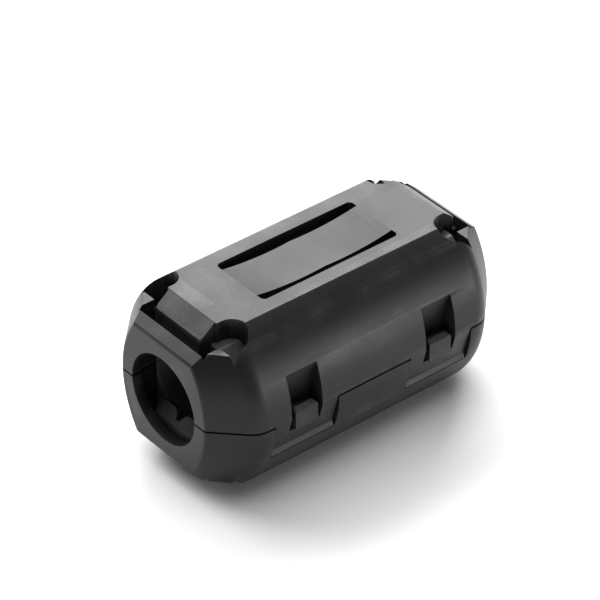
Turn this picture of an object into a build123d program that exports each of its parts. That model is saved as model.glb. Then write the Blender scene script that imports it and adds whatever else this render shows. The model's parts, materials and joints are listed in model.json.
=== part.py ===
from build123d import *
from math import asin, atan2, cos, sin, sqrt, tan
import os

# A clip-on ferrite bead. Two case halves in black plastic fold together
# around a cable, each with half of a ferrite core inside.
# Origin: middle of the flat base. X runs along the cable, the latches are on
# the -Y side and the hinge is on the +Y side. Sizes are millimetres.

# The closed case, a barrel with a flat top and base and tapered ends
LENGTH = 35.0
WIDTH = 20.0
HEIGHT = 18.6
SIDE_RADIUS = 11.4
TAPER_LENGTH = 3.65
END_WIDTH = 12.6
END_HEIGHT = 12.8
END_EDGE_ROUND = 0.5
CREASE_ROUND = 2.5
CREASE_STEPS = 3
SEAM_GAP = 0.22

# The cable bore and the walls it goes through
BORE_DIAMETER = 9.5
END_WALL = 1.1

# The walls and room kept around the ferrite core
TOP_WALL = 2.15
SIDE_WALL = 3.05
END_ROOM = 2.0
CORE_FIT = 0.15

# The ferrite core, in two halves that meet at the seam
CORE_CHAMFER = 2.3
CORE_HOLE_STEP = 0.25
CORE_FACE_GAP = 0.06

# The space between the core and each end wall, in from the edges of the end
END_SPACE_SIDE = 1.4
END_SPACE_ROOF = 0.2

# The spring strip in the top and in the base, which presses on the core
STRIP_INSET = 5.6
STRIP_WIDTH = 5.2
STRIP_THICKNESS = 1.2
STRIP_FIT = 0.2
STRIP_SLOT = 1.0
STRIP_DIP = 0.5
STRIP_DIP_AT = 0.3
STRIP_RIDGE = 0.42

# The flap over each end of the core and the slot around it
FLAP_WIDTH = 6.8
FLAP_SLOT = 0.85
FLAP_SIDE_SLOT = 1.5
FLAP_CORNER = 0.4

# The round hole at each corner of the top and base, and the ledge beside it
POCKET_RADIUS = 1.55
POCKET_INSET = 0.55
POCKET_FLARE = 0.4
LEDGE_DEPTH = 1.8

# The teeth that grip the cable behind each end wall
TOOTH_WIDTH = 2.8
TOOTH_GAP = 0.5
TOOTH_ROUND = 1.0
TOOTH_VALLEY = 0.85
TOOTH_SETBACK = 0.2
TOOTH_THICKNESS = 0.7
TOOTH_TIP = 0.5
TOOTH_SLOPE = 0.3
TOOTH_LEAN = 0.9
TOOTH_BEND_REACH = 0.95
TOOTH_TIP_REACH = 2.25

# The latch: two skirts on the upper half, with a barb in the window of each
SKIRT_INSET = 1.85
SKIRT_WIDTH = 7.5
SKIRT_DROP = 3.85
SKIRT_ROOT = 1.0
SKIRT_THICKNESS = 0.9
SKIRT_WAIST_DROP = 3.3
SKIRT_WAIST_INSET = 0.85
SKIRT_LEAD_IN = 0.5
SKIRT_GAP = 0.15
WINDOW_WIDTH = 3.7
WINDOW_BELOW_SEAM = 1.6
RAMP_TOP = 4.55
RAMP_FOOT = 1.0
RAMP_DEPTH = 1.85
BARB_WIDTH = 2.7
BARB_TOP = 0.7
BARB_FRONT = 0.05
BARB_LIP = 0.65
BARB_LEAD_IN = 0.26
BARB_CORNER = 0.45
BARB_GAP = 0.1

# The film hinge along the back of the seam
HINGE_INSET = 2.85
HINGE_OFFSET = 0.4
HINGE_ROOT = 0.5
FILM_THICKNESS = 0.4
FILM_RADIUS = 0.25

seam = HEIGHT / 2
flat_length = LENGTH - 2 * TAPER_LENGTH
end_slope = (HEIGHT - END_HEIGHT) / 2 / TAPER_LENGTH
side_turn = atan2((WIDTH - END_WIDTH) / 2, TAPER_LENGTH)
crease_start = flat_length / 2 - CREASE_ROUND * tan(side_turn / 2)
crease_middle = asin(tan(side_turn / 2))
end_inside = LENGTH / 2 - END_WALL
bore_radius = BORE_DIAMETER / 2
core_length = LENGTH - 2 * (END_WALL + END_ROOM)
core_width = WIDTH - 2 * (SIDE_WALL + CORE_FIT)
core_height = HEIGHT - 2 * (TOP_WALL + CORE_FIT)
end_space_width = END_WIDTH - 2 * END_SPACE_SIDE
end_space_height = END_HEIGHT - 2 * END_SPACE_ROOF
strip_length = flat_length - 2 * STRIP_INSET
flap_reach = TAPER_LENGTH - END_WALL - FLAP_SLOT
skirt_spacing = flat_length - 2 * SKIRT_INSET - SKIRT_WIDTH
hinge_length = flat_length - 2 * HINGE_INSET
hinge_y = WIDTH / 2 + HINGE_OFFSET
far = LENGTH


# Everything below is built about the seam: z = 0 is the seam plane, and the
# finished pieces are lifted onto the base at the end.


def box(x0, x1, y0, y1, z0, z1):
    """A block between two corners."""
    middle = Pos((x0 + x1) / 2, (y0 + y1) / 2, (z0 + z1) / 2)
    return middle * Box(x1 - x0, y1 - y0, z1 - z0)


def both_ends(shape):
    """The shape and its mirror image at the other end of the bead."""
    return [shape, mirror(shape, Plane.YZ)]


def four_corners(shape):
    """The shape at both ends and on both sides."""
    return [s for end in both_ends(shape) for s in (end, mirror(end, Plane.XZ))]


def section(x, width, height):
    """The barrel's outline across the cable: two arcs and two flats."""
    side = SIDE_RADIUS - width / 2
    lens = Pos(side, 0) * Circle(SIDE_RADIUS) & Pos(-side, 0) * Circle(SIDE_RADIUS)
    return Plane.YZ.offset(x) * (lens & Rectangle(width, height))


def crease_sections():
    """Sections around the rounded side crease, where the barrel narrows."""
    step_out = crease_middle / CREASE_STEPS
    step_in = (side_turn - crease_middle) / CREASE_STEPS
    turns = [i * step_out for i in range(CREASE_STEPS)]
    turns += [crease_middle + i * step_in for i in range(CREASE_STEPS + 1)]
    for turn in turns:
        x = crease_start + CREASE_ROUND * sin(turn)
        width = WIDTH - 2 * CREASE_ROUND * (1 - cos(turn))
        yield section(x, width, HEIGHT - 2 * end_slope * max(0, x - flat_length / 2))


def barrel():
    """The closed case as one solid lump."""
    sections = [*crease_sections(), section(LENGTH / 2, END_WIDTH, END_HEIGHT)]
    taper = loft(sections, ruled=True)
    rim = taper.faces().sort_by(Axis.X)[-1].edges()
    taper = fillet(rim, END_EDGE_ROUND)
    middle = extrude(sections[0], -2 * crease_start)
    return middle + both_ends(taper)


def core_outline(grow=0.0):
    """The core's outline across the cable, with chamfered long edges."""
    block = Rectangle(core_width + 2 * grow, core_height + 2 * grow)
    return chamfer(block.vertices(), CORE_CHAMFER)


def core():
    """The whole core with its hole, before it is split."""
    ring = core_outline() - Circle(bore_radius + CORE_HOLE_STEP)
    return extrude(Plane.YZ * ring, core_length / 2, both=True)


def core_space():
    """The room for the core, for the grip teeth and for the cable."""
    outline = Plane.YZ * core_outline(CORE_FIT)
    room = extrude(outline, core_length / 2 + CORE_FIT, both=True)
    ends = Box(2 * end_inside, end_space_width, end_space_height)
    bore = extrude(Plane.YZ * Circle(bore_radius), far, both=True)
    return room + ends + bore


def strip_opening():
    """The opening in the flat of the top that the spring strip lies in."""
    width = STRIP_WIDTH + 2 * STRIP_SLOT
    slots = Pos(0, 0, seam) * Box(strip_length, width, 4 * TOP_WALL)
    return fillet(slots.edges().filter_by(Axis.Z), STRIP_SLOT / 2)


def strip():
    """The spring strip: bowed down to the core, with a low ridge across it."""
    half = strip_length / 2
    dip = half * STRIP_DIP_AT
    ridge = (0, seam - STRIP_RIDGE)
    under = ThreePointArc(
        (half, seam - STRIP_THICKNESS),
        (0, core_height / 2 + STRIP_FIT),
        (-half, seam - STRIP_THICKNESS),
    )
    outline = [
        ThreePointArc((-half, seam), (-dip, seam - STRIP_DIP), ridge),
        ThreePointArc(ridge, (dip, seam - STRIP_DIP), (half, seam)),
        Line((half, seam), under @ 0),
        under,
        Line(under @ 1, (-half, seam)),
    ]
    return extrude(Plane.XZ * make_face(outline), STRIP_WIDTH / 2, both=True)


def flap_slot():
    """The slot around one end flap, straight down into the core's room."""
    x0 = flat_length / 2
    x1 = x0 + flap_reach
    width = FLAP_WIDTH + 2 * FLAP_SIDE_SLOT
    floor = end_space_height / 2 - FLAP_SLOT
    around = box(x0, x1 + FLAP_SLOT, -width / 2, width / 2, floor, far)
    flap = box(x0, x1, -FLAP_WIDTH / 2, FLAP_WIDTH / 2, floor, far)
    corners = flap.edges().filter_by(Axis.Z).sort_by(Axis.X)[-2:]
    return around - fillet(corners, FLAP_CORNER)


def corner_pocket():
    """The round hole at one corner, with a ledge from it to the end wall."""
    x, y = flat_length / 2 - POCKET_INSET, -side_y(seam)
    inner, outer = y - POCKET_RADIUS, y + POCKET_RADIUS
    core_end = core_length / 2 + CORE_FIT
    run_out = Polyline(
        (x, inner), (core_end, inner), (core_end, outer + POCKET_FLARE), (x, outer),
        close=True,
    )
    hole = Pos(x, y) * Circle(POCKET_RADIUS) & Rectangle(2 * core_end, far)
    hole = extrude(hole + make_face(run_out), far)
    ledge = box(core_end, end_inside, inner, far, seam - LEDGE_DEPTH, far)
    return [hole, ledge]


def teeth():
    """The two grip teeth at one end, upright behind the end wall, then leaning
    inwards, with rounded tips and a valley between them."""
    x = end_inside - TOOTH_SETBACK
    root = end_space_height / 2
    bend = bore_radius - TOOTH_BEND_REACH
    tip = bore_radius - TOOTH_TIP_REACH
    outline = Polyline(
        (x, root),
        (x, bend),
        (x - TOOTH_LEAN, tip),
        (x - TOOTH_LEAN - TOOTH_TIP, tip + TOOTH_SLOPE),
        (x - TOOTH_THICKNESS, bend + TOOTH_SLOPE),
        (x - TOOTH_THICKNESS, root),
        close=True,
    )
    blade = extrude(Plane.XZ * make_face(outline), TOOTH_WIDTH + TOOTH_GAP, both=True)
    return blade & extrude(Plane.YZ * teeth_outline(tip, root), far)


def teeth_outline(tip, root):
    """The outline of a pair of grip teeth, seen along the cable."""
    hump = Pos(0, (tip + root) / 2) * Rectangle(TOOTH_WIDTH, root - tip)
    hump = fillet(hump.vertices().group_by(Axis.Y)[0], TOOTH_ROUND)
    apart = (TOOTH_WIDTH + TOOTH_GAP) / 2
    valley = tip + TOOTH_VALLEY
    bridge = Pos(0, (valley + root) / 2) * Rectangle(2 * apart, root - valley)
    return bridge + [Pos(s * apart, 0) * hump for s in (-1, 1)]


def hinge_land():
    """The rib along the back that the film hinge grows out of."""
    z0 = FILM_RADIUS
    return box(
        -hinge_length / 2, hinge_length / 2,
        WIDTH / 2 - HINGE_ROOT, hinge_y,
        z0, z0 + FILM_THICKNESS,
    )


def half_case():
    """What the two case halves share, drawn as the upper one."""
    half = barrel() & box(-far, far, -far, far, SEAM_GAP / 2, far)
    half -= core_space()
    half -= strip_opening()
    half -= both_ends(flap_slot())
    for cut in corner_pocket():
        half -= four_corners(cut)
    half += strip()
    half += both_ends(teeth())
    return half + hinge_land()


def skirt_profile(inwards, drop, lip=False):
    """The region outside a line that runs down inside the skirts' outer face.

    The face leans in from the seam to a waist, and the lip below the waist
    comes out to the barrel again."""
    waist = SKIRT_WAIST_INSET + inwards - WIDTH / 2
    outline = Polyline(
        (-far, SKIRT_ROOT),
        (side_y(SKIRT_ROOT) + inwards, SKIRT_ROOT),
        (-WIDTH / 2 + inwards, 0),
        (waist, -SKIRT_WAIST_DROP),
        (side_y(drop) + inwards if lip else waist, -drop),
        (-far, -drop),
        close=True,
    )
    return make_face(outline)


def skirt():
    """One skirt, which hangs from the upper half over the lower one."""
    profile = skirt_profile(SKIRT_THICKNESS, SKIRT_DROP)
    tip = profile.vertices().group_by(Axis.Y)[0].sort_by(Axis.X)[-1]
    profile = chamfer(tip, SKIRT_LEAD_IN)
    profile -= skirt_profile(0, SKIRT_DROP, lip=True)
    return extrude(Plane.YZ * profile, SKIRT_WIDTH / 2, both=True)


def skirt_recess():
    """The room in the lower half that a skirt drops into."""
    room = skirt_profile(SKIRT_THICKNESS + SKIRT_GAP, SKIRT_DROP + SKIRT_GAP)
    room = extrude(Plane.YZ * room, SKIRT_WIDTH / 2 + SKIRT_GAP, both=True)
    return room & box(-far, far, -far, far, -far, 0)


def window():
    """The window in a skirt, with the ramp that runs into it from above."""
    back = -WIDTH / 2 + RAMP_DEPTH
    outline = Polyline(
        (-far, -WINDOW_BELOW_SEAM),
        (back, -WINDOW_BELOW_SEAM),
        (back, RAMP_FOOT),
        (side_y(RAMP_TOP), RAMP_TOP),
        (-far, RAMP_TOP),
        close=True,
    )
    return extrude(Plane.YZ * make_face(outline), WINDOW_WIDTH / 2, both=True)


def side_y(z):
    """Where the barrel's latch side lies at a height above the seam."""
    return SIDE_RADIUS - WIDTH / 2 - sqrt(SIDE_RADIUS**2 - z**2)


def barb():
    """The barb on the lower half: a lip with a sloping top in the window."""
    front = -WIDTH / 2 + BARB_FRONT
    back = -WIDTH / 2 + RAMP_DEPTH - BARB_GAP
    foot = -WINDOW_BELOW_SEAM + BARB_GAP
    outline = Polyline(
        (front, foot),
        (front, BARB_TOP - BARB_LEAD_IN),
        (front + BARB_LIP, BARB_TOP),
        (front + BARB_LIP, -SEAM_GAP / 2),
        (back, -SEAM_GAP / 2),
        (back, foot),
        close=True,
    )
    block = extrude(Plane.YZ * make_face(outline), BARB_WIDTH / 2, both=True)
    face = Pos(0, (foot + BARB_TOP) / 2) * Rectangle(BARB_WIDTH, BARB_TOP - foot)
    face = fillet(face.vertices().group_by(Axis.Y)[-1], BARB_CORNER)
    return block & extrude(Plane.XZ * face, far)


def both_skirts(shape):
    """A latch feature at its two places along the bead."""
    return [Pos(s * skirt_spacing / 2, 0, 0) * shape for s in (-1, 1)]


def upper_case():
    half = half_case() + both_skirts(skirt())
    return half - both_skirts(window())


def lower_case():
    half = mirror(half_case(), Plane.XY) - both_skirts(skirt_recess())
    return half + both_skirts(barb())


def half_core():
    """The upper half of the core."""
    return core() & box(-far, far, -far, far, CORE_FACE_GAP / 2, far)


def film_hinge():
    """The thin web that joins the halves, a half loop about the hinge line."""
    ring = Circle(FILM_RADIUS + FILM_THICKNESS) - Circle(FILM_RADIUS)
    loop = Pos(hinge_y, 0) * (ring & Pos(HEIGHT / 2, 0) * Rectangle(HEIGHT, HEIGHT))
    return extrude(Plane.YZ * loop, hinge_length / 2, both=True)


PIECES = {
    "lower_case": lower_case,
    "upper_case": upper_case,
    "lower_core": lambda: mirror(half_core(), Plane.XY),
    "upper_core": half_core,
    "hinge_web": film_hinge,
}

os.makedirs("parts", exist_ok=True)
for name, make in PIECES.items():
    export_step(Pos(0, 0, seam) * make(), f"parts/{name}.step")
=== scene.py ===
"""Looks for a clip-on ferrite bead: two halves of a black plastic case, the
film hinge between them and the split ferrite core inside.

Lengths in this file are metres unless a name ends in _mm. X runs along the
cable, the latches are on the -Y side and the hinge is on the +Y side.
"""

import json
import math

import bpy
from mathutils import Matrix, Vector


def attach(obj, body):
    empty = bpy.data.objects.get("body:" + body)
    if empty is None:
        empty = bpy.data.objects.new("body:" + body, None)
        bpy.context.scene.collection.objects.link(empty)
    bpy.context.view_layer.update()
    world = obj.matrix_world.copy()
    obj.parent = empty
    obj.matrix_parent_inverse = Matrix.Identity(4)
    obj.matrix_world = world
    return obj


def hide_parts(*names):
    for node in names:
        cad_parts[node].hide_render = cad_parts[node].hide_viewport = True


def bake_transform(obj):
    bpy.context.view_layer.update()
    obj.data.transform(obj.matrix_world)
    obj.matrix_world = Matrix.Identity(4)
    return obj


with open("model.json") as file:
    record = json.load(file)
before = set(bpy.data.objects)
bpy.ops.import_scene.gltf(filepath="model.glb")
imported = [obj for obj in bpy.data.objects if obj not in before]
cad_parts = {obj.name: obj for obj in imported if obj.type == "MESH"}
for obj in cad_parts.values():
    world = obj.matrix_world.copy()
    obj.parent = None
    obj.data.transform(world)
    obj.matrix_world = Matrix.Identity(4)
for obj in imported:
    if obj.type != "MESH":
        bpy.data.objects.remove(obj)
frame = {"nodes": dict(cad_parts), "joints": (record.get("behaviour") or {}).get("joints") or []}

bl_info = {
    "name": "Clip-on ferrite bead",
    "version": (1, 0, 0),
    "blender": (4, 5, 0),
    "location": "View3D > Sidebar > Ferrite bead",
    "description": "Builds the case, the film hinge, the ferrite core and the stage",
    "category": "Object",
}

JOINT = frame["joints"][0]
HINGE_Y, SEAM_Z = JOINT["pos_m"][1], JOINT["pos_m"][2]

# Modelling: what counts as one point, as one flat, as an edge and as smooth
MERGE_WITHIN = 0.000002
FLAT_WITHIN = math.radians(0.6)
SHARP_ABOVE = math.radians(30)
SMOOTH_BELOW = math.radians(28)
EDGE_SEGMENTS = 2
FILM_STEPS = 16
FILM_EDGE_SHARE = 0.15

# Surfaces: gloss of the plastic, and strength and depth of each grain
CASE_GLOSS = 0.27
PLASTIC_IOR = 1.5
GRAIN_STRENGTH = 0.35
CASE_GRAIN_DEPTH = 0.00004
FERRITE_GRAIN_DEPTH = 0.00003
FERRITE_GRAIN_SCALE = 2600.0
FERRITE_PATCH_SCALE = 700.0
CRYSTAL_SCALE = 9000.0

# The camera, fitted to the photo's edges: its axes in the object's frame, how
# far the bead's middle is in front of it and how far to its right and below
CAMERA_TURN = math.radians(39.42)
CAMERA_DROP = math.radians(36.54)
CAMERA_LENS_MM = 214.36
CAMERA_DISTANCE = 0.34298
CAMERA_AIM_RIGHT = 0.000712
CAMERA_AIM_DOWN = 0.002718
SENSOR_MM = 36.0
NEAREST, FARTHEST = 0.01, 20.0

# The floor's side, and how far it lies below the base, so that the two faces
# don't flicker through each other
FLOOR_SIZE = 6.0
FLOOR_BELOW = 0.00002

# Each light: its name, place, width and height, and watts
LIGHTS = (
    ("Back softbox right", (0.36, 0.375, 0.468), (0.5, 0.4), 6.2),
    ("Back softbox left", (-0.12, 0.505, 0.468), (0.5, 0.4), 5.2),
    ("Overhead softbox", (0.02, -0.05, 0.6), (0.5, 0.5), 2.2),
    ("Front low light", (0.42, -0.57, 0.05), (0.3, 0.1), 1.8),
)


# Sizes and colours that a user would change


class CaseSettings(bpy.types.PropertyGroup):
    """The moulded case and its black plastic."""

    edge_round: bpy.props.FloatProperty(
        name="Edge rounding",
        description="Radius of the small rounds that moulding leaves on outside edges",
        default=0.00012,
        min=0.0,
        max=0.0003,
        unit="LENGTH",
        precision=6,
    )
    colour: bpy.props.FloatVectorProperty(
        name="Plastic colour",
        description="Colour of the moulded plastic",
        subtype="COLOR",
        default=(0.009, 0.009, 0.0094),
        min=0.0,
        max=1.0,
    )
    roughness: bpy.props.FloatProperty(
        name="Roughness",
        description="Roughness of the satin moulded surface",
        subtype="FACTOR",
        default=0.4,
        min=0.0,
        max=1.0,
    )
    grain_size: bpy.props.FloatProperty(
        name="Grain size",
        description="Size of one grain of the mould's fine texture",
        default=0.00022,
        min=0.00005,
        unit="LENGTH",
        precision=6,
    )


class HingeSettings(bpy.types.PropertyGroup):
    """The film hinge."""

    length: bpy.props.FloatProperty(
        name="Film length",
        description="Length of the film along the back of the seam",
        default=0.022,
        unit="LENGTH",
    )
    thickness: bpy.props.FloatProperty(
        name="Film thickness",
        description="Thickness of the film at its roots",
        default=0.0004,
        unit="LENGTH",
        precision=6,
    )
    inner_radius: bpy.props.FloatProperty(
        name="Film radius",
        description="Inside radius of the film's half loop",
        default=0.00024,
        unit="LENGTH",
        precision=6,
    )


class CoreSettings(bpy.types.PropertyGroup):
    """The pressed ferrite core."""

    edge_round: bpy.props.FloatProperty(
        name="Edge rounding",
        description="Radius of the rounds that tumbling leaves on the core's edges",
        default=0.00018,
        min=0.0,
        unit="LENGTH",
        precision=6,
    )
    colour: bpy.props.FloatVectorProperty(
        name="Ferrite colour",
        description="Colour of the fired ferrite",
        subtype="COLOR",
        default=(0.055, 0.055, 0.06),
        min=0.0,
        max=1.0,
    )


class StageSettings(bpy.types.PropertyGroup):
    """The floor and the lights."""

    floor_colour: bpy.props.FloatVectorProperty(
        name="Floor colour",
        description="Colour of the pale floor",
        subtype="COLOR",
        default=(0.8, 0.8, 0.8),
        min=0.0,
        max=1.0,
    )
    sky_strength: bpy.props.FloatProperty(
        name="Sky strength",
        description="Strength of the even light from all round",
        default=0.2,
        min=0.0,
    )


# Shader node helpers


def new_group(name, inputs, outputs):
    """An empty shader node group with named sockets."""
    group = bpy.data.node_groups.new(name, "ShaderNodeTree")
    for label, kind, value in inputs:
        socket = group.interface.new_socket(
            name=label, in_out="INPUT", socket_type=kind
        )
        if value is not None:
            socket.default_value = value
    for label, kind in outputs:
        group.interface.new_socket(name=label, in_out="OUTPUT", socket_type=kind)
    return group


class Wiring:
    """Adds nodes to one node tree and joins them."""

    def __init__(self, tree):
        self.tree = tree

    def add(self, kind, links=(), **settings):
        """A node with its settings, and a link or a value for each input."""
        node = self.tree.nodes.new(kind)
        for key, value in settings.items():
            setattr(node, key, value)
        for socket, source in dict(links).items():
            self.put(node.inputs[socket], source)
        return node

    def put(self, socket, source):
        """Joins an output to a socket, or sets the socket's value."""
        if isinstance(source, bpy.types.NodeSocket):
            self.tree.links.new(source, socket)
        else:
            socket.default_value = source

    def math(self, operation, a, b=None, clamp=False):
        node = self.add(
            "ShaderNodeMath", {0: a}, operation=operation, use_clamp=clamp
        )
        if b is not None:
            self.put(node.inputs[1], b)
        return node.outputs[0]

    def spread(self, value, low, high, to_low, to_high):
        """Maps a value from one range to another, clamped."""
        node = self.add(
            "ShaderNodeMapRange",
            {
                "Value": value,
                "From Min": low,
                "From Max": high,
                "To Min": to_low,
                "To Max": to_high,
            },
        )
        return node.outputs[0]

    def noise(self, place, scale, detail=2.0, roughness=0.5):
        node = self.add(
            "ShaderNodeTexNoise",
            {
                "Vector": place,
                "Scale": scale,
                "Detail": detail,
                "Roughness": roughness,
            },
        )
        return node.outputs["Fac"]

    def mix(self, factor, a, b):
        """A colour between two colours."""
        node = self.add("ShaderNodeMix", data_type="RGBA")
        self.put(node.inputs["Factor"], factor)
        self.put(node.inputs[6], a)
        self.put(node.inputs[7], b)
        return node.outputs[2]


def mould_grain_group():
    """Height of the fine grain that a textured mould leaves on plastic."""
    group = new_group(
        "Mould grain",
        [("Position", "NodeSocketVector", None), ("Scale", "NodeSocketFloat", 4500.0)],
        [("Height", "NodeSocketFloat"), ("Cloud", "NodeSocketFloat")],
    )
    wire = Wiring(group)
    given = wire.add("NodeGroupInput").outputs
    fine = wire.noise(given["Position"], given["Scale"], 3.0, 0.62)
    coarse_scale = wire.math("MULTIPLY", given["Scale"], 0.11)
    coarse = wire.noise(given["Position"], coarse_scale, 2.0, 0.5)
    cloud_scale = wire.math("MULTIPLY", given["Scale"], 0.028)
    cloud = wire.noise(given["Position"], cloud_scale, 3.0, 0.55)
    height = wire.math("ADD", fine, wire.math("MULTIPLY", coarse, 0.6))
    wire.add("NodeGroupOutput", {"Height": height, "Cloud": cloud})
    return group


def edge_wear_group():
    """How far a point on an edge is rubbed: 1 on a worn edge, 0 elsewhere."""
    group = new_group(
        "Edge wear",
        [
            ("Position", "NodeSocketVector", None),
            ("Amount", "NodeSocketFloat", 0.5),
            ("Patch Scale", "NodeSocketFloat", 300.0),
        ],
        [("Wear", "NodeSocketFloat")],
    )
    wire = Wiring(group)
    given = wire.add("NodeGroupInput").outputs
    pointed = wire.add("ShaderNodeNewGeometry").outputs["Pointiness"]
    edge = wire.spread(pointed, 0.52, 0.62, 0.0, 1.0)
    patches = wire.noise(given["Position"], given["Patch Scale"], 4.0, 0.65)
    rubbed = wire.math(
        "MULTIPLY", edge, wire.spread(patches, 0.4, 0.65, 0.15, 1.0)
    )
    wear = wire.math("MULTIPLY", rubbed, given["Amount"], clamp=True)
    wire.add("NodeGroupOutput", {"Wear": wear})
    return group


def scratches_group():
    """Sparse hairline scuffs, 1 in a scuff and 0 elsewhere."""
    group = new_group(
        "Hairline scuffs",
        [
            ("Position", "NodeSocketVector", None),
            ("Scale", "NodeSocketFloat", 220.0),
        ],
        [("Scuff", "NodeSocketFloat")],
    )
    wire = Wiring(group)
    given = wire.add("NodeGroupInput").outputs
    turned = wire.add(
        "ShaderNodeMapping",
        {"Vector": given["Position"], "Rotation": (0.4, 0.7, 0.5)},
    )
    turned.inputs["Scale"].default_value = (1.0, 14.0, 9.0)
    streaks = wire.noise(turned.outputs["Vector"], given["Scale"], 2.0, 0.5)
    lines = wire.spread(streaks, 0.69, 0.74, 0.0, 1.0)
    where = wire.noise(
        given["Position"], wire.math("MULTIPLY", given["Scale"], 0.7), 1.0
    )
    kept = wire.spread(where, 0.52, 0.6, 0.0, 1.0)
    wire.add("NodeGroupOutput", {"Scuff": wire.math("MULTIPLY", lines, kept)})
    return group


def blank_material(name):
    """A material with its wiring, its shader and the object's coordinates."""
    material = bpy.data.materials.new(name)
    material.use_nodes = True
    tree = material.node_tree
    tree.nodes.clear()
    wire = Wiring(tree)
    shader = wire.add("ShaderNodeBsdfPrincipled")
    wire.add("ShaderNodeOutputMaterial", {"Surface": shader.outputs[0]})
    place = wire.add("ShaderNodeTexCoord").outputs["Object"]
    return material, wire, shader, place


def new_material(name, colour):
    """A blank material for a piece, with its coordinates centred on the bead."""
    material, wire, shader, place = blank_material(name)
    material.diffuse_color = (*colour, 1.0)
    centred = wire.add(
        "ShaderNodeMapping", {"Vector": place, "Location": (0.0, 0.0, -SEAM_Z)}
    )
    return material, wire, shader, centred.outputs["Vector"]


def place_group(wire, group, **values):
    """A group node in a tree, with a link or value for each named input."""
    node = wire.add("ShaderNodeGroup", node_tree=group)
    for label, value in values.items():
        wire.put(node.inputs[label.replace("_", " ")], value)
    return node.outputs


def moulded_plastic(name, colour, roughness, grain_size, groups):
    """Satin black moulded plastic with mould grain, rubbed edges and scuffs."""
    material, wire, shader, place = new_material(name, colour)
    grain = place_group(wire, groups["grain"], Position=place, Scale=1 / grain_size)
    wear = place_group(wire, groups["wear"], Position=place, Amount=0.7)["Wear"]
    scuff = place_group(wire, groups["scuffs"], Position=place)["Scuff"]
    rubbed = tuple(min(1.0, 2.6 * c + 0.012) for c in colour)
    dull = tuple(0.72 * c for c in colour)
    shade = wire.mix(grain["Cloud"], (*dull, 1.0), (*colour, 1.0))
    marked = wire.math("MULTIPLY", scuff, 0.25)
    worn = wire.math("MAXIMUM", wear, marked)
    wire.put(shader.inputs["Base Color"], wire.mix(worn, shade, (*rubbed, 1.0)))
    rough = wire.spread(grain["Cloud"], 0.3, 0.7, roughness - 0.05, roughness + 0.05)
    rough = wire.math("ADD", rough, wire.math("MULTIPLY", worn, -0.08))
    wire.put(shader.inputs["Roughness"], rough)
    bumped = wire.add(
        "ShaderNodeBump",
        {
            "Height": grain["Height"],
            "Distance": CASE_GRAIN_DEPTH,
            "Strength": GRAIN_STRENGTH,
        },
    )
    wire.put(shader.inputs["Normal"], bumped.outputs["Normal"])
    shader.inputs["Specular IOR Level"].default_value = CASE_GLOSS
    shader.inputs["IOR"].default_value = PLASTIC_IOR
    return material


def fired_ferrite(name, colour, groups):
    """Fired ferrite: dark grey, fine crystals, pale chips at its edges."""
    material, wire, shader, place = new_material(name, colour)
    grain = place_group(wire, groups["grain"], Position=place, Scale=FERRITE_GRAIN_SCALE)
    wear = place_group(
        wire,
        groups["wear"],
        Position=place,
        Amount=0.8,
        Patch_Scale=FERRITE_PATCH_SCALE,
    )["Wear"]
    crystals = wire.add(
        "ShaderNodeTexVoronoi", {"Vector": place, "Scale": CRYSTAL_SCALE}
    ).outputs["Distance"]
    sparkle = wire.spread(crystals, 0.05, 0.3, 1.0, 0.0)
    dark = tuple(0.7 * c for c in colour)
    pale = tuple(min(1.0, 2.2 * c + 0.02) for c in colour)
    shade = wire.mix(grain["Cloud"], (*dark, 1.0), (*colour, 1.0))
    flecked = wire.mix(wire.math("MULTIPLY", sparkle, 0.18), shade, (*pale, 1.0))
    wire.put(shader.inputs["Base Color"], wire.mix(wear, flecked, (*pale, 1.0)))
    wire.put(
        shader.inputs["Roughness"],
        wire.math(
            "SUBTRACT",
            wire.spread(grain["Cloud"], 0.3, 0.7, 0.36, 0.5),
            wire.math("MULTIPLY", sparkle, 0.12),
        ),
    )
    bumped = wire.add(
        "ShaderNodeBump",
        {
            "Height": grain["Height"],
            "Distance": FERRITE_GRAIN_DEPTH,
            "Strength": GRAIN_STRENGTH,
        },
    )
    wire.put(shader.inputs["Normal"], bumped.outputs["Normal"])
    return material


def surface_groups():
    """The shared node groups, made once."""
    makers = {
        "grain": ("Mould grain", mould_grain_group),
        "wear": ("Edge wear", edge_wear_group),
        "scuffs": ("Hairline scuffs", scratches_group),
    }
    return {
        key: bpy.data.node_groups.get(name) or make()
        for key, (name, make) in makers.items()
    }


# Modelling helpers


def only(*objects):
    """Selects these objects alone and makes the first one active."""
    if bpy.context.object and bpy.context.object.mode != "OBJECT":
        bpy.ops.object.mode_set(mode="OBJECT")
    bpy.ops.object.select_all(action="DESELECT")
    for each in objects:
        each.select_set(True)
    if objects:
        bpy.context.view_layer.objects.active = objects[0]


def need(done, what):
    """Stops the script if a Blender operator didn't finish."""
    if "FINISHED" not in done:
        raise RuntimeError(f"{what} could not be finished")


def merged_copy(node, name):
    """A copy of a CAD node's mesh as one closed mesh with flat faces joined."""
    source = frame["nodes"][node]
    mesh = source.data.copy()
    mesh.materials.clear()
    piece = bpy.data.objects.new(name, mesh)
    bpy.context.scene.collection.objects.link(piece)
    only(piece)
    bpy.ops.object.mode_set(mode="EDIT")
    bpy.ops.mesh.select_all(action="SELECT")
    bpy.ops.mesh.remove_doubles(threshold=MERGE_WITHIN)
    bpy.ops.mesh.customdata_custom_splitnormals_clear()
    bpy.ops.mesh.dissolve_limited(angle_limit=FLAT_WITHIN)
    bpy.ops.object.mode_set(mode="OBJECT")
    return piece


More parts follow.
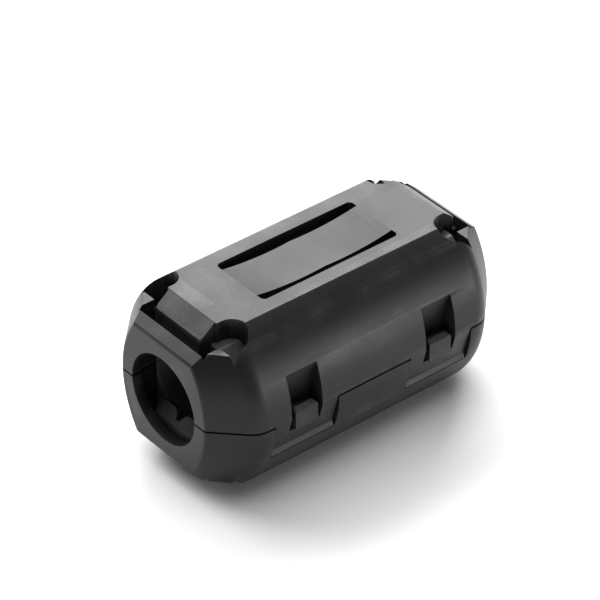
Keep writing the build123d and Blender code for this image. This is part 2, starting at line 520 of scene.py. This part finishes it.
def soften(piece, radius):
    """Rounds the sharp edges by a small radius and shades the rest smooth."""
    if radius > 0:
        bevel = piece.modifiers.new("Edge rounding", "BEVEL")
        bevel.width = radius
        bevel.segments = EDGE_SEGMENTS
        bevel.limit_method = "ANGLE"
        bevel.angle_limit = SHARP_ABOVE
        bevel.use_clamp_overlap = True
        bevel.miter_outer = "MITER_ARC"
        only(piece)
        need(bpy.ops.object.modifier_apply(modifier=bevel.name), "edge rounding")
    only(piece)
    need(bpy.ops.object.shade_smooth_by_angle(angle=SMOOTH_BELOW), "smooth shading")
    even = piece.modifiers.new("Even shading", "WEIGHTED_NORMAL")
    even.keep_sharp = True
    need(bpy.ops.object.modifier_apply(modifier=even.name), "even shading")


def dress(piece, material, slot, body, *nodes):
    """Gives a piece its material and body, and hides what it stands for. The slot argument is
    not used.
    """
    piece.data.materials.clear()
    piece.data.materials.append(material)
    if body:
        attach(piece, body)
    if nodes:
        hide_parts(*nodes)


def case_plastic(context):
    """The case's plastic, made once and shared by its halves and the film."""
    look = context.scene.bead_case
    return bpy.data.materials.get("Black plastic") or moulded_plastic(
        "Black plastic",
        tuple(look.colour),
        look.roughness,
        look.grain_size,
        surface_groups(),
    )


# The operators, one for each group of pieces


class BEAD_OT_case(bpy.types.Operator):
    """Makes the two case halves from the CAD solids, with rounded edges"""

    bl_idname = "bead.case"
    bl_label = "Case halves"

    def execute(self, context):
        look = context.scene.bead_case
        material = case_plastic(context)
        for side in ("lower", "upper"):
            piece = merged_copy(f"{side}_case", f"{side}_shell")
            soften(piece, look.edge_round)
            dress(piece, material, "case", f"{side}_half", f"{side}_case")
        return {"FINISHED"}


class BEAD_OT_hinge(bpy.types.Operator):
    """Makes the film hinge as a half loop that bends between the halves"""

    bl_idname = "bead.hinge"
    bl_label = "Film hinge"

    def execute(self, context):
        film = context.scene.bead_hinge
        middle = film.inner_radius + film.thickness / 2
        only()
        bpy.ops.mesh.primitive_plane_add(
            size=1.0,
            location=(0.0, HINGE_Y, SEAM_Z - middle),
            rotation=(math.radians(90), 0.0, 0.0),
        )
        piece = context.object
        piece.name = "hinge_film"
        piece.scale = (film.length, film.thickness, 1.0)
        bpy.ops.object.transform_apply(location=True, rotation=True, scale=True)
        bpy.ops.object.mode_set(mode="EDIT")
        bpy.ops.mesh.select_all(action="SELECT")
        bpy.ops.mesh.delete(type="ONLY_FACE")
        bpy.ops.mesh.select_all(action="SELECT")
        turned = bpy.ops.mesh.spin(
            steps=FILM_STEPS,
            angle=math.pi,
            center=(0.0, HINGE_Y, SEAM_Z),
            axis=(-1.0, 0.0, 0.0),
        )
        bpy.ops.mesh.select_all(action="SELECT")
        bpy.ops.mesh.fill_holes(sides=4)
        bpy.ops.mesh.normals_make_consistent(inside=False)
        bpy.ops.object.mode_set(mode="OBJECT")
        need(turned, "the film's half loop")
        soften(piece, film.thickness * FILM_EDGE_SHARE)
        dress(piece, case_plastic(context), "case", None, "hinge_web")
        # Known fault: at exactly half a turn the blend's axis can come out with
        # either sign, and the film is then drawn the long way round the hinge
        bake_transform(piece)
        return {"FINISHED"}


class BEAD_OT_core(bpy.types.Operator):
    """Makes the two halves of the ferrite core, with tumbled edges"""

    bl_idname = "bead.core"
    bl_label = "Ferrite core"

    def execute(self, context):
        look = context.scene.bead_core
        material = fired_ferrite("Fired ferrite", tuple(look.colour), surface_groups())
        for side in ("lower", "upper"):
            piece = merged_copy(f"{side}_core", f"{side}_ferrite")
            soften(piece, look.edge_round)
            dress(piece, material, "ferrite", f"{side}_half", f"{side}_core")
        return {"FINISHED"}


def area_light(name, place, size, power):
    """A softbox at a place, turned towards the bead."""
    data = bpy.data.lights.new(name, "AREA")
    data.shape = "RECTANGLE"
    data.size, data.size_y = size
    data.energy = power
    light = bpy.data.objects.new(name, data)
    bpy.context.scene.collection.objects.link(light)
    light.location = place
    towards = Vector((0.0, 0.0, SEAM_Z)) - Vector(place)
    light.rotation_euler = towards.to_track_quat("-Z", "Y").to_euler()


def add_camera():
    """The camera at the photo's viewing angle and distance."""
    turn, drop = CAMERA_TURN, CAMERA_DROP
    right = Vector((math.cos(turn), -math.sin(turn), 0.0))
    ahead = Vector(
        (
            math.sin(turn) * math.cos(drop),
            math.cos(turn) * math.cos(drop),
            -math.sin(drop),
        )
    )
    up = right.cross(ahead)
    data = bpy.data.cameras.new("Camera")
    data.lens = CAMERA_LENS_MM
    data.sensor_width = SENSOR_MM
    data.clip_start, data.clip_end = NEAREST, FARTHEST
    camera = bpy.data.objects.new("Camera", data)
    bpy.context.scene.collection.objects.link(camera)
    middle = Vector((0.0, 0.0, SEAM_Z))
    camera.location = (
        middle
        - CAMERA_DISTANCE * ahead
        - CAMERA_AIM_RIGHT * right
        + CAMERA_AIM_DOWN * up
    )
    camera.rotation_mode = "QUATERNION"
    camera.rotation_quaternion = ahead.to_track_quat("-Z", "Y")
    bpy.context.scene.camera = camera


def pale_floor(colour):
    """The floor's material, pale and matt with a trace of unevenness."""
    material, wire, shader, place = blank_material("Pale floor")
    faint = wire.noise(place, 6.0, 2.0)
    darker = tuple(0.985 * c for c in colour)
    wire.put(
        shader.inputs["Base Color"],
        wire.mix(faint, (*darker, 1.0), (*colour, 1.0)),
    )
    shader.inputs["Roughness"].default_value = 0.9
    shader.inputs["Specular IOR Level"].default_value = 0.1
    return material


class BEAD_OT_stage(bpy.types.Operator):
    """Makes the pale floor, the soft lights, the sky and the camera"""

    bl_idname = "bead.stage"
    bl_label = "Stage"

    def execute(self, context):
        look = context.scene.bead_stage
        bpy.ops.object.select_all(action="DESELECT")
        bpy.ops.mesh.primitive_plane_add(
            size=FLOOR_SIZE, location=(0.0, 0.0, -FLOOR_BELOW)
        )
        floor = context.object
        floor.name = "floor"
        floor.data.materials.append(pale_floor(tuple(look.floor_colour)))
        add_camera()
        for light in LIGHTS:
            area_light(*light)
        world = bpy.data.worlds.new("Studio")
        context.scene.world = world
        world.use_nodes = True
        back = world.node_tree.nodes["Background"]
        back.inputs["Color"].default_value = (1.0, 1.0, 1.0, 1.0)
        back.inputs["Strength"].default_value = look.sky_strength
        context.scene.view_settings.view_transform = "Standard"
        return {"FINISHED"}


class BEAD_PT_panel(bpy.types.Panel):
    """Lists the pieces of the bead in the 3D view's sidebar"""

    bl_idname = "BEAD_PT_panel"
    bl_label = "Ferrite bead"
    bl_space_type = "VIEW_3D"
    bl_region_type = "UI"
    bl_category = "Ferrite bead"

    def draw(self, context):
        for name, cls in SETTINGS.items():
            group = getattr(context.scene, name)
            part = self.layout.box()
            part.label(text=cls.__doc__)
            for key in cls.__annotations__:
                part.prop(group, key)
        for cls in OPERATORS:
            self.layout.operator(cls.bl_idname)


SETTINGS = {
    "bead_case": CaseSettings,
    "bead_hinge": HingeSettings,
    "bead_core": CoreSettings,
    "bead_stage": StageSettings,
}
OPERATORS = (BEAD_OT_case, BEAD_OT_hinge, BEAD_OT_core, BEAD_OT_stage)


def register():
    for name, cls in SETTINGS.items():
        bpy.utils.register_class(cls)
        setattr(bpy.types.Scene, name, bpy.props.PointerProperty(type=cls))
    for cls in (*OPERATORS, BEAD_PT_panel):
        bpy.utils.register_class(cls)


def unregister():
    for cls in reversed((*OPERATORS, BEAD_PT_panel)):
        bpy.utils.unregister_class(cls)
    for name, cls in reversed(SETTINGS.items()):
        delattr(bpy.types.Scene, name)
        bpy.utils.unregister_class(cls)


def main():
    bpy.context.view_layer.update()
    register()
    bpy.ops.bead.case()
    bpy.ops.bead.hinge()
    bpy.ops.bead.core()
    bpy.ops.bead.stage()


if __name__ == "__main__":
    main()
